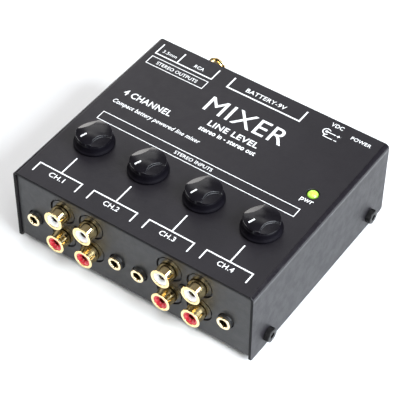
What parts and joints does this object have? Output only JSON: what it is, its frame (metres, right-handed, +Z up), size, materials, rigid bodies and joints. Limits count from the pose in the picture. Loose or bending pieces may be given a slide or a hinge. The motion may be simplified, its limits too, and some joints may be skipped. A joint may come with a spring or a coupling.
{
  "type": "mixing console",
  "caption": "Small portable stereo line mixer: folded black metal box with level knobs on top, phono and mini-jack sockets at front and rear, a battery drawer and a power button.",
  "frame": {"origin": "on the table, under the middle of the overall box with the sockets; the case is centred 1.5 mm in front of it", "axes": "+X to the right along the front panel, the front panel faces -Y, +Z up"},
  "size_m": [0.119, 0.1128, 0.0465],
  "materials": {
    "black_paint": "satin black powder coat",
    "black_steel": "black oxide",
    "foot_rubber": "matte",
    "circuit_board": "solder mask",
    "plain_steel": "zinc plated",
    "shaft_metal": "turned",
    "socket_plastic": "moulded",
    "button_plastic": "moulded",
    "knob_plastic": "semi-gloss",
    "lamp_lens": "diffuse green epoxy, lit",
    "ring_brass": "polished",
    "gold_plate": "bright gold plate",
    "contact_brass": "plated",
    "white_insulator": "moulded",
    "red_insulator": "moulded",
    "battery_jacket": "plain printed jacket"
  },
  "bodies": {
    "case": {"cover": "black_paint", "chassis": "black_paint", "front_panel": "black_paint", "rear_panel": "black_paint", "cover_screws": "black_steel", "rca_body_screws": "black_steel", "feet": "foot_rubber", "main_board": "circuit_board", "upper_board": "circuit_board", "board_pillars": "plain_steel", "upper_pillars": "plain_steel", "main_board_screws": "plain_steel", "upper_board_screws": "plain_steel", "switch_spring": "plain_steel", "dc_jack_pin": "plain_steel", "pot_body_1": "plain_steel", "pot_body_2": "plain_steel", "pot_body_3": "plain_steel", "pot_body_4": "plain_steel", "board_header": "socket_plastic", "amplifier_chips": "socket_plastic", "led_spacer": "socket_plastic", "input_jack_body_1": "socket_plastic", "input_jack_body_2": "socket_plastic", "input_jack_body_3": "socket_plastic", "input_jack_body_4": "socket_plastic", "output_jack_body": "socket_plastic", "input_rca_body_1": "socket_plastic", "input_rca_body_2": "socket_plastic", "output_rca_body": "socket_plastic", "dc_jack_body": "socket_plastic", "power_switch_body": "socket_plastic", "battery_box": "socket_plastic", "power_led": "lamp_lens", "input_jack_bush_1": "ring_brass", "input_jack_bush_2": "ring_brass", "input_jack_bush_3": "ring_brass", "input_jack_bush_4": "ring_brass", "output_jack_bush": "ring_brass", "input_rca_shells_1": "gold_plate", "input_rca_shells_2": "gold_plate", "output_rca_shells": "gold_plate", "jack_contacts": "contact_brass", "rca_contacts": "contact_brass", "battery_contacts": "contact_brass", "input_rca_white_inserts": "white_insulator", "output_rca_white_insert": "white_insulator", "input_rca_red_inserts": "red_insulator", "output_rca_red_insert": "red_insulator"},
    "level_knob_1": {"knob_1": "knob_plastic", "pot_shaft_1": "shaft_metal"},
    "level_knob_2": {"knob_2": "knob_plastic", "pot_shaft_2": "shaft_metal"},
    "level_knob_3": {"knob_3": "knob_plastic", "pot_shaft_3": "shaft_metal"},
    "level_knob_4": {"knob_4": "knob_plastic", "pot_shaft_4": "shaft_metal"},
    "power_push": {"power_button": "button_plastic"},
    "drawer": {"battery_drawer": "socket_plastic", "battery": "battery_jacket"}
  },
  "joints": [
    {"name": "level_1_turn", "type": "hinge", "parent": "case", "child": "level_knob_1", "pos_m": [-0.0404, -0.0198, 0.0398], "axis": [0, 0, -1], "range_deg": [0, 300]},
    {"name": "level_2_turn", "type": "hinge", "parent": "case", "child": "level_knob_2", "pos_m": [-0.0136, -0.0198, 0.0398], "axis": [0, 0, -1], "range_deg": [0, 300]},
    {"name": "level_3_turn", "type": "hinge", "parent": "case", "child": "level_knob_3", "pos_m": [0.0132, -0.0198, 0.0398], "axis": [0, 0, -1], "range_deg": [0, 300]},
    {"name": "level_4_turn", "type": "hinge", "parent": "case", "child": "level_knob_4", "pos_m": [0.04, -0.0198, 0.0398], "axis": [0, 0, -1], "range_deg": [0, 300]},
    {"name": "power_button_press", "type": "slide", "parent": "case", "child": "power_push", "axis": [0, -1, 0], "range_m": [0, 0.0025], "stiffness_N_per_m": 800, "springref_m": -0.001},
    {"name": "battery_drawer_slide", "type": "slide", "parent": "case", "child": "drawer", "axis": [0, 1, 0], "range_m": [0, 0.045]}
  ]
}
